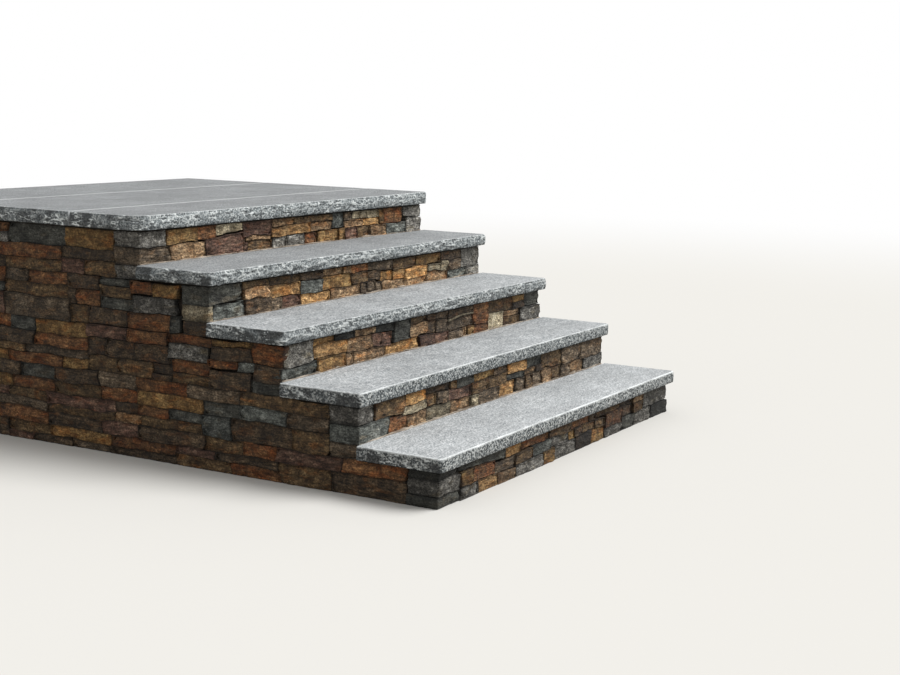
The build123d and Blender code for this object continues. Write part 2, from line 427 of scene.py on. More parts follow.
slabLook = dict(
    column=3.6,            # spacing of the columns along the edge
    row=2.7,               # spacing of the rows down the edge
    border=5.0,            # the sawn top's outermost strip, which carries the top's shade
    treadRadii=(14.0, 14.0),
    landingRadii=(80.0, 22.0),       # its worn front left corner, and its lumpy right one
    # shares of the depth, and how far the face stands out there
    belly=((0.0, 0.06, 0.22, 0.55, 0.85, 1.0), (0.0, 0.16, 0.46, 0.66, 0.52, 0.30)),
    swell=(0.30, 190.0),   # how much the belly varies, and over which length
    scoopAlong=66.0,       # size of the scoops that the pitching tool leaves
    scoopDown=30.0,
    scoopMiddle=0.42,
    scoopTop=9.0,          # depth below the top where the scoops have their full height
    fineScoops=(0.22, 2.6),          # smaller scoops on them: their share of the height, and how much finer
    flakeShare=0.16,       # steps of thin flakes, as a share of the scoops
    flakeBands=(8.5, 0.26),          # height of those flakes, and how much they are stretched along the edge
    flakeSwings=((7.0, 85.0), (4.0, 36.0)),     # how far they swing up and down, and over which length
    flakeBreaks=40.0,      # length of the breaks in them
    grain=(0.8, 7.0, 3.0),           # height and size of the broken grain, and the depth where it is full
    wanderSize=34.0,       # of the bends in the arris
    chips=(2.3, 26.0),     # depth of its chips, as a share of its bends, and their size
    arrisFade=(3.0, 12.0),           # depths below the top between which the bends and chips end
    limits=(-3.0, -0.2),   # how far behind the arris and short of the proudest flake the face stays
    worn=(0.75, 0.45, 55.0),         # how white the arris is, as wear and painted highlight, how much that varies, and over which length
    bruise=1.1,            # how far a point stands out from its surroundings where it is bruised white
    footShade=((0.65, 1.0), (0.0, -0.55)),      # shares of the depth, and how much darker the face is there
    patchSize=30.0,        # of the dark patches on the ends
    endShade=0.80,         # the left ends are darker, partly damp and partly painted shade, and have their own lines and hollows
)
slabSteps = dict(          # from the lowest tread up to the landing
    proud=(4.0, 4.0, 12.0, 12.0, 9.0),           # the proudest flake of the pitched edge, beyond the arris
    scoopDepth=(2.0, 2.2, 8.0, 8.5, 5.5),
    lineWeight=(0.0, 0.15, 1.15, 1.25, 0.9),     # how white the edges of the flakes are
    grainShare=(1.9, 1.40, 0.85, 0.82, 0.80),    # how strongly the crystals show
    arrisWidth=(3.0, 2.4, 1.3, 1.3, 1.3),        # the lowest two treads have a straight, eased arris
    arrisWhite=(0.88, 0.70, 0.35, 0.35, 0.4),
    arrisWander=(0.3, 0.5, 1.3, 1.3, 1.3),
    topShade=(0.92, 0.83, 0.79, 0.58, 0.48),     # the upper slabs' tops are darker: painted shade for the darker surroundings that they reflect
    edgeShade=(0.91, 0.90, 1.03, 1.08, 1.31),
    endLine=(1.5, 1.7, 2.1, 2.0, 1.1),
    endHollow=(1.1, 1.3, 1.5, 1.5, 0.7),
)


def edgeRun(corners, radii, spacing):
    # Points and outward normals along straight runs between corners, with a quarter arc at each inner one.
    # A point is corner plus distance times direction, or arc centre plus radius times the turning normal.
    points, normals = [], []
    directions = [(b - a) / np.linalg.norm(b - a) for a, b in zip(corners, corners[1:])]
    cuts = (0.0, *radii, 0.0)
    for i, along in enumerate(directions):
        outward = np.array((along[1], -along[0]))
        start, end = corners[i] + along * cuts[i], corners[i + 1] - along * cuts[i + 1]
        count = max(2, int(round(np.linalg.norm(end - start) / spacing)))
        share = np.linspace(0, 1, count + 1)[:, None]
        points.append(start + (end - start) * share)
        normals.append(np.repeat(outward[None], count + 1, 0))
        radius = cuts[i + 1]
        if radius > 0:
            turns = max(4, int(round(radius * math.pi / 2 / spacing)))
            angle = np.linspace(0, math.pi / 2, turns + 1)[1:-1, None]
            turned = outward * np.cos(angle) + along * np.sin(angle)
            points.append(end - outward * radius + radius * turned)
            normals.append(turned)
    return np.concatenate(points), np.concatenate(normals)


def scoops(along, down, look, seed):
    # Conchoidal scoops: the lowest of many paraboloids, one round each jittered lattice centre, each
    # stretched along its own axis, which leans by 0.10 to 0.65 radians, three in ten the other way. They
    # meet in sharp ridges, and are measured from their middle height.
    place = np.stack((along / look["scoopAlong"], down / look["scoopDown"], np.zeros_like(along)), 1)
    base = np.floor(place).astype(np.int64)
    lowest = np.full(len(along), np.inf)
    for dx, dy in np.ndindex(3, 3):
        cell = base + np.array((dx - 1, dy - 1, 0))
        jitterX, jitterY, slant, side, lift = (latticeHash(cell, seed + i) for i in range(5))
        offset = place[:, :2] - (cell[:, :2] + np.stack((jitterX, jitterY), 1))
        lean = 0.10 + 0.55 * slant
        lean = np.where(side < 0.3, lean, -lean)
        inLine = offset[:, 0] * np.cos(lean) + offset[:, 1] * np.sin(lean)
        across = offset[:, 1] * np.cos(lean) - offset[:, 0] * np.sin(lean)
        lowest = np.minimum(lowest, 0.35 * lift + 0.45 * inLine ** 2 + 1.6 * across ** 2)
    return lowest - look["scoopMiddle"]


def flakeLines(where, look, seed):
    # Edges of thin flakes: the zero lines of a noise that is stretched along the edge and swings up and
    # down it, broken up by a second noise. Below each line lies a hollow, where the noise is negative.
    height, stretch = look["flakeBands"]
    swing = sum(reach * smoothNoise(where * (1, 0, 1), size, seed + i)
                for i, (reach, size) in enumerate(look["flakeSwings"]))
    swung = np.column_stack((stretch * where[:, 0], where[:, 1] + swing, where[:, 2]))
    bands = fractalNoise(swung, height, 2, seed + 2)
    broken = smoothStep(-0.35, 0.25, smoothNoise(where, look["flakeBreaks"], seed + 4))
    return broken * (1 - smoothStep(0.02, 0.22, np.abs(bands))), smoothStep(0.1, 0.9, -bands)


def nearbyMean(grid, reach):
    # mean over reach cells each way, first along and then across
    for _ in range(2):
        padded = np.pad(grid, ((reach + 1, reach), (0, 0)), mode="edge")
        total = np.cumsum(padded, axis=0)
        grid = ((total[2 * reach + 1:] - total[:-2 * reach - 1]) / (2 * reach + 1)).T
    return grid


def pitchedEdge(outline, normals, along, downs, insets, look, own, seed):
    # One run of rock-pitched edge, in columns down from the outline. Edge point = outline + normal times
    # (belly of the face + scoops + flakes + grain, and near the top the bends and chips of the arris, less
    # the insets). Returns the points with their depths, and their ridge, shade and arris values.
    count, rows, thickness = len(outline), len(downs), downs[-1]
    s, d, inset = np.repeat(along, rows), np.tile(downs, count), np.tile(insets, count)
    where = np.stack((s, d, np.full(len(s), 7.0 * seed)), 1)
    level = where * (1, 0, 1)          # the same all the way down
    swell, swellSize = look["swell"]
    belly = own["proud"] * np.interp(d / thickness, *look["belly"])
    belly = belly * (1 + swell * smoothNoise(where, swellSize, seed + 20))
    scoop = own["scoopDepth"] * scoops(s, d, look, seed * 31)
    fineShare, finer = look["fineScoops"]
    fine = fineShare * own["scoopDepth"] * scoops(s * finer + 900, d * finer, look, seed * 31 + 9)
    lines, hollows = flakeLines(where, look, 90 + 7 * seed)
    fine = fine + look["flakeShare"] * own["scoopDepth"] * (lines - hollows)
    grain, grainSize, grainTop = look["grain"]
    offset = belly + smoothStep(0.0, look["scoopTop"], d) * (scoop + fine)
    offset = offset + smoothStep(0.0, grainTop, d) * grain * fractalNoise(where, grainSize, 2, seed + 40)
    offset = np.clip(offset, look["limits"][0], own["proud"] + look["limits"][1])
    chipShare, chipSize = look["chips"]
    bends = 0.5 + 0.5 * fractalNoise(level, look["wanderSize"], 3, seed + 60)
    bends = bends + chipShare * smoothStep(0.45, 0.9, smoothNoise(level, chipSize, seed + 80))
    nearTop = (1 - smoothStep(*look["arrisFade"], d)) * (inset < look["border"])
    offset = offset - own["arrisWander"] * bends * nearTop - inset
    flat = np.repeat(outline, rows, 0) + np.repeat(normals, rows, 0) * offset[:, None]

    # what stands out from its surroundings is bruised white; what lies back, and the foot of the face, are
    # darker as painted shade
    atEnd = smoothStep(0.2, 0.9, -np.repeat(normals[:, 0], rows))
    patches = smoothStep(-0.1, 0.5, smoothNoise(where, look["patchSize"], seed + 110))
    drawn = own["lineWeight"] * (1.3 * lines - 0.9 * hollows)
    drawn = drawn + atEnd * (own["endLine"] * lines - own["endHollow"] * (0.6 * hollows + patches))
    grid = offset.reshape(count, rows)
    ridge = 0.6 * np.clip((grid - nearbyMean(grid, 2)) / look["bruise"], -1, 1) + drawn.reshape(count, rows)
    ridge = ridge + np.interp(downs / thickness, *look["footShade"])
    ridge[:, :2] = (0.0, 0.75)
    # the left ends are darker, partly damp and partly painted shade
    endTone = 1 - atEnd * (1 - look["endShade"] - 0.7 * lines + 0.36 * patches)
    shade = np.where(inset > 1, own["topShade"], own["edgeShade"] * endTone)
    white, varied, size = look["worn"]
    worn = white + varied * smoothNoise(level, size, seed + 95)
    # the arris is paler, as wear and painted highlight
    band = np.tile(np.interp(np.arange(rows), (0, 1, 3, 5), (0.0, 1.0, 1.0, 0.0)), count)
    arris = np.clip(own["arrisWhite"] * worn * band, 0, 1)
    return np.column_stack((flat, d)), np.clip(ridge, -1, 1).ravel(), shade, arris


def pitchedSlab(name, node, runs, look, seed, step):
    # A slab: each run of its outline has a rock-pitched edge, and sawn faces close the gaps between runs.
    low, high = (np.array(corner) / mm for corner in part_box(node))
    own = {key: values[step - 1] for key, values in slabSteps.items()}
    thickness, eased = high[2] - low[2], own["arrisWidth"]
    faceDowns = np.linspace(3.0 * eased, thickness, int(round((thickness - 3.0 * eased) / look["row"])))
    # the first two rows are the top's border, and the next three turn down over the eased arris
    downs = np.concatenate((eased * np.array((0.0, 0.0, 0.35, 1.0, 1.9)), faceDowns))
    insets = np.zeros(len(downs))
    insets[:3] = (look["border"] + eased, 1.15 * eased, 0.35 * eased)
    rows = len(downs)
    edges, spans, start, travel = [], [], 0, 0.0
    for outline, normals in runs:
        lengths = np.linalg.norm(np.diff(outline, axis=0), axis=1)
        along = travel + np.concatenate(([0.0], np.cumsum(lengths)))
        travel = along[-1] + 500.0     # so that no two runs share their noise
        edges.append(pitchedEdge(outline, normals, along, downs, insets, look, own, seed))
        spans.append(start + np.arange(len(outline) * rows).reshape(-1, rows))
        start += spans[-1].size
    points, ridges, shades, whites = (np.concatenate(column) for column in zip(*edges))
    points[:, 2] = high[2] - points[:, 2]
    faces = [np.stack((ids[:-1, :-1], ids[:-1, 1:], ids[1:, 1:], ids[1:, :-1]), -1).reshape(-1, 4)
             for ids in spans]
    kinds = [np.tile(np.arange(rows - 1) > 0, len(ids) - 1) for ids in spans]
    caps = [np.concatenate([ids[:, 0] for ids in spans]), np.concatenate([ids[:, -1] for ids in spans])[::-1]]
    for ids, following in zip(spans, spans[1:] + spans[:1]):
        caps.append(np.concatenate((ids[-1], following[0, ::-1])))
    shares = np.full(len(points), own["grainShare"])
    surface = dict(points=points * mm, faces=faces, caps=[cap[None] for cap in caps],
                   kinds=kinds + [np.zeros(len(caps))],
                   attributes={"ridge": ridges, "shade": shades, "arris": whites, "grainShare": shares})
    piece = putMesh(name, surface, [thermalTop, rockFace])
    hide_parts(node)
    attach(piece, "root")


def slabRuns(node, step, radii, look):
    # The outline of a slab, from the back left round the front to the back right. One with no radii has a
    # sawn front, so that only its ends are runs.
    low, high = (np.array(corner)[:2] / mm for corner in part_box(node))
    proud = slabSteps["proud"][step - 1]
    half, back = high[0] - proud, high[1]
    front = low[1] + (proud if radii else 0.0)
    corners = [np.array(c) for c in ((-half, back), (-half, front), (half, front), (half, back))]
    if radii:
        return [edgeRun(corners, radii, look["column"])]
    return [edgeRun(end, (), look["column"]) for end in (corners[:2], corners[2:])]


slabs = [(f"tread{step}Slab", f"tread_{step}", step, step, slabLook["treadRadii"])
         for step in range(1, stepCount)]
slabs += [
    ("landingFrontSlab", "landing_front", 6, stepCount, slabLook["landingRadii"]),
    ("landingMiddleSlab", "landing_middle", 7, stepCount, ()),
    ("landingBackSlab", "landing_back", 8, stepCount, ()),
]
for name, node, seed, step, radii in slabs:
    pitchedSlab(name, node, slabRuns(node, step, radii, slabLook), slabLook, seed, step)
print("granite slabs made")


# Ledgestone walls

wallLook = dict(
    joint=1.6,             # gap between stones
    ragged=(1.4, 24.0),    # how far each stone's own outline wanders, and over which length
    rounding=(1.3, 3.8),   # worn edges of a stone
    proud=(-5.0, 6.0),     # how far single stones stand out of the wall's face
    depth=34.0,            # of the shown part of a stone in the wall
    facets=6,              # number of slanted planes that cut a split face,
    facetDrop=6.5,         # the greatest height of one,
    facetShares=(0.25, 1.0),         # the range of heights as shares of that,
    facetLift=2.0,         # and how far one may lie above the face
    split=8.0,             # height of the ridges between the scoops of a split face
    scoopAlong=44.0,       # and the size of those scoops
    scoopDown=25.0,
    scoopMiddle=0.3,
    crest=(0.20, 3.5),     # by which share those ridges are paler, as wear and painted highlight, with the scoops darker as painted shade, and how sharply
    layer=(2.2, 8.0, 0.14),          # height and thickness of a slaty face's layers, and how level they run
    rough=(1.8, 34.0),     # height and size of its broken grain
    chip=(-14.0, 34.0),    # size of the chipped corners, none where it is below 0
    chipDepth=(0.85, 15.0),          # their steepness and their depth at most
    faceRange=(-13.0, 4.0),          # how far back and forward the planes and chips take a face
    sideRough=0.35,        # the grain on the sides of a stone, as a share
    endSplit=0.6,          # how far the ends of quoins are split as a face is
    edgeDarkening=(13.0, 0.24),        # how wide a stone is darker along its joints, and by which share
    edgeDarkeningVaries=(0.7, 30.0),         # how much that width varies, and over which length
    lean=(8.0, 95.0),      # how far the upright joints wander and lean, and over which length
    warp=(6.5, 150.0),     # how far the level joints wander
    fineWarp=(4.2, 42.0, 52.0),      # and how far both do within a stone's length
    stillEnds=60.0,        # the joints wander less this close to a wall's ends
    stillTop=34.0,         # and to its foot and top
    shadeStep=0.15,        # one step of a stone's shade, as a share of its tone
    shadeVaries=0.06,
    jointShade=7.0,        # how near to its joints the side of a quoin has painted shade
    fineCell=6.0,          # mesh spacing on the walls that face the front and the left
    plainCell=9.5,
    sideCell=40.0,         # on the sides of stones in the joints
    quoinCell=7.0,         # and on those of quoins
    riserDarkening=(1.9, -0.2, 0.2, -0.4, -0.4),      # shades by which each riser is darker, from the ground up
)


def wallPlane(corner, along, outward):
    # a wall's own plane: along it to the right as seen from outside, up, and outward
    return {key: np.array(value, float) for key, value in (
        ("corner", corner), ("along", along), ("outward", outward))}


def stoneGrid(width, height, depth, rounding, cell, sideCell):
    # One stone's surface as shares across and up its front, and distance back: a front grid, then rings
    # back along its four sides, then a cap.
    shares = []
    for size in (width, height):
        inner = np.linspace(rounding, size - rounding, max(2, int(round(size / cell))))
        shares.append(np.concatenate(([0.0], inner, [size])) / size)
    gridA, gridH = np.meshgrid(*shares, indexing="ij")
    ids = np.arange(gridA.size).reshape(gridA.shape)
    loop = np.concatenate((ids[:-1, 0], ids[-1, :-1], ids[:0:-1, -1], ids[0, :0:-1]))
    backs = np.linspace(rounding, depth, max(2, int(round(depth / sideCell)) + 1))
    shareA, shareH = (np.concatenate([grid] + [grid[loop]] * len(backs))
                      for grid in (gridA.ravel(), gridH.ravel()))
    back = np.concatenate((np.zeros(gridA.size), np.repeat(backs, len(loop))))
    quads = [np.stack((ids[:-1, :-1], ids[1:, :-1], ids[1:, 1:], ids[:-1, 1:]), -1).reshape(-1, 4)]
    previous = loop
    for i in range(len(backs)):
        ring = gridA.size + i * len(loop) + np.arange(len(loop))
        quads.append(np.stack((previous, ring, np.roll(ring, -1), np.roll(previous, -1)), -1))
        previous = ring
    return shareA, shareH, back, np.concatenate(quads), previous[::-1]


def stoneBlanks(stones, cell, sideCell, chance, look):
    # Uncut stones. Each is a box in its wall's plane with rounded corners: the nearest point of an inner box,
    # plus the rounding times the direction away from it.
    blanks, caps, traits, start = [], [], [], 0
    gap = look["joint"] / 2
    for number, (kind, shade, a0, a1, h0, h1, tiltLow, tiltHigh, depth) in enumerate(stones):
        rounding = min(chance.uniform(*look["rounding"]), (a1 - a0) / 4, (h1 - h0) / 4)
        proud = chance.uniform(*look["proud"])
        a0, a1, h0, h1 = a0 + gap, a1 - gap, h0 + gap, h1 - gap
        shareA, shareH, back, quads, cap = stoneGrid(a1 - a0, h1 - h0, depth, rounding, cell, sideCell)
        bottom, top = h0 + tiltLow * (shareA - 0.5), h1 + tiltHigh * (shareA - 0.5)
        a = a0 + (a1 - a0) * shareA
        h = bottom + (top - bottom) * shareH
        inner = np.column_stack((np.clip(a, a0 + rounding, a1 - rounding),
                                 np.clip(h, bottom + rounding, top - rounding), np.minimum(-back, -rounding)))
        away = np.column_stack((a, h, -back)) - inner
        normal = away / np.linalg.norm(away, axis=1)[:, None]
        place = inner + rounding * normal + (0, 0, proud)
        # painted shade on the sides of each stone, which run back into the joints
        rim = (back > 0).astype(float)
        if depth > look["depth"]:          # the side of a quoin shows, so it has painted shade only near its joints
            rim *= 1 - np.clip(np.minimum(h - bottom, top - h) / look["jointShade"], 0, 1)
        owner, material = np.full(len(place), number), kindNames.index(kind)
        blanks.append((place, normal, owner, rim, quads + start, np.full(len(quads), material)))
        caps.append(((cap + start)[None], np.array([material])))
        start += len(place)
        tone = 1.0 + look["shadeStep"] * shade + chance.uniform(-look["shadeVaries"], look["shadeVaries"])
        traits.append(((a0 + a1) / 2, (h0 + h1) / 2, (a1 - a0) / 2, (h1 - h0) / 2, depth / 2,
                       stoneKinds[kind]["layered"], tone))
    return *(np.concatenate(column) for column in zip(*blanks)), *zip(*caps), np.array(traits)


def cutStones(stones, wall, limits, cell, seed, warpSeed, look=wallLook, endCell=None):
    # Stones in place in their wall. Each split face is its blank's face + the lowest of six slanted planes
    # + scoops + fractal noise + level layers, less chipped corners, and the joints wander by one noise field
    # for all stones of a wall. The ends of quoins show, so their sides have their own mesh spacing, endCell.
    # stones: (kind, shade, low and high along, low and high up, tilt of bottom and top, depth)
    chance = np.random.default_rng(seed)
    place, normal, owner, rim, quads, quadKinds, caps, capKinds, traits = stoneBlanks(
        stones, cell, endCell or look["sideCell"], chance, look)
    centre, halfSize, (halfDepth, layered, tone) = traits[owner, :2], traits[owner, 2:4], traits[owner, 4:].T
    inside = np.column_stack((
        (place[:, :2] - centre) / halfSize, np.clip(place[:, 2] / halfDepth + 1, -1, 1)))
    facet = np.full(len(place), np.inf)
    for _ in range(look["facets"]):
        direction = chance.normal(size=(len(stones), 3))
        direction /= np.linalg.norm(direction, axis=1)[:, None]
        drop = look["facetDrop"] * chance.uniform(*look["facetShares"], len(stones))
        offset = chance.uniform(0.0, look["facetLift"], len(stones))
        facet = np.minimum(facet, offset[owner] + drop[owner] * np.sum(direction[owner] * inside, 1))
    margins = halfSize * (1 - np.abs(inside[:, :2]))
    chipSize = chance.uniform(*look["chip"], (len(stones), 2, 2))
    chipSize = chipSize[owner, (inside[:, 0] > 0).astype(int), (inside[:, 1] > 0).astype(int)]
    steepness, deepest = look["chipDepth"]
    facet = facet - steepness * np.clip(chipSize - margins.sum(1), 0, deepest)

    # each stone reads the noises in a place of its own
    own = place + chance.uniform(0, 4000, (len(stones), 3))[owner]
    darkWidth, darkShare = look["edgeDarkening"]
    varies, size = look["edgeDarkeningVaries"]
    darkWidth = darkWidth * (1 + varies * smoothNoise(own, size, seed + 31))
    edgeTone = 1 - darkShare * (1 - smoothStep(0, 1, margins.min(1) / darkWidth))
    (rough, roughSize), (ragged, raggedSize), (layer, layerSize, level) = (
        look[key] for key in ("rough", "ragged", "layer"))
    rough = rough * fractalNoise(own, roughSize, 3, seed + 7)
    scooped = scoops(own[:, 0], own[:, 1], look, seed + 8)
    ragged = ragged * np.column_stack([fractalNoise(own, raggedSize, 2, seed + k) for k in (21, 24)])
    layers = layered * layer * smoothNoise(own * (level, 1.0, level), layerSize, seed + 9)
    weight = np.clip(normal[:, 2], 0.0, 1.0) ** 2
    if endCell:
        weight = np.maximum(weight, look["endSplit"] * np.abs(normal[:, 0]))
    push = weight * (np.clip(facet, *look["faceRange"]) + layers + look["split"] * scooped)
    push = push + (look["sideRough"] + (1 - look["sideRough"]) * weight) * rough
    place = place + normal * push[:, None]
    place[:, :2] += ragged

    lowA, highA, lowH, highH = limits
    ends, top = look["stillEnds"], look["stillTop"]
    fade = smoothStep(0, ends, place[:, 0] - lowA) * smoothStep(0, ends, highA - place[:, 0])
    fadeUp = smoothStep(0, top, place[:, 1] - lowH) * smoothStep(0, top, highH - place[:, 1])
    flat = place * (1.0, 1.0, 0.0)
    (lean, leanSize), (warp, warpSize), (fine, fineAcross, fineUp) = (
        look[key] for key in ("lean", "warp", "fineWarp"))
    sideways = lean * fractalNoise(flat * (1.0, 1.6, 1.0), leanSize, 2, warpSeed + 11)
    sideways += fine * fractalNoise(flat, fineAcross, 2, warpSeed + 15)
    upward = warp * fractalNoise(flat, warpSize, 2, warpSeed + 13)
    upward += 0.55 * fine * fractalNoise(flat, fineUp, 2, warpSeed + 17)
    place[:, 0] += fade * sideways
    place[:, 1] += fade * fadeUp * upward
    points = wall["corner"] + (
        place[:, :1] * wall["along"] + place[:, 1:2] * up + place[:, 2:] * wall["outward"])
    shift = chance.uniform(0, 40, (len(stones), 3))[owner]     # in m, so that no two stones look alike
    crest, sharply = look["crest"]
    # ridges paler, as wear and painted highlight, and scoops darker, as painted shade
    shade = tone * edgeTone * (1 + crest * np.clip(sharply * scooped, -1, 1))
    return dict(points=points * mm, faces=[quads], caps=list(caps), kinds=[quadKinds, *capKinds],
                attributes={"shade": shade, "rim": rim, "stoneShift": shift})


boxes = {node: [np.array(corner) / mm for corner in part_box(node)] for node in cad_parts}
boxCorners = np.array(list(np.ndindex(2, 2, 2)))
boxFaces = np.array(((0, 1, 3, 2), (4, 6, 7, 5), (0, 4, 5, 1), (2, 3, 7, 6), (0, 2, 6, 4), (1, 5, 7, 3)))
inset = 27.0               # the mortar stands this far behind the faces of the stones


def putWall(name, node, slotName, surface, *shown):
    # Cut stones, kept inside the steps' own box, and the mortar behind them: the wall's box, set back from
    # the sides that show.
    low = boxes[node][0] + inset * np.array(("left" in shown, "front" in shown, False))
    high = boxes[node][1] - inset * np.array(("right" in shown, "back" in shown, False))
    block = np.where(boxCorners, high, low) * mm
    surface["caps"].append(boxFaces + len(surface["points"]))
    surface["kinds"].append(np.full(len(boxFaces), hearting))
    surface["points"] = np.clip(np.concatenate((surface["points"], block)), cadLow, cadHigh)
    for key, value in (("shade", 1.0), ("rim", 0.0), ("stoneShift", 0.0)):
        values = surface["attributes"][key]
        surface["attributes"][key] = np.concatenate((values, np.full((len(block), *values.shape[1:]), value)))
    piece = putMesh(name, surface, ledgestones + [beddingMortar])
    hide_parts(node)
    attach(piece, "root")
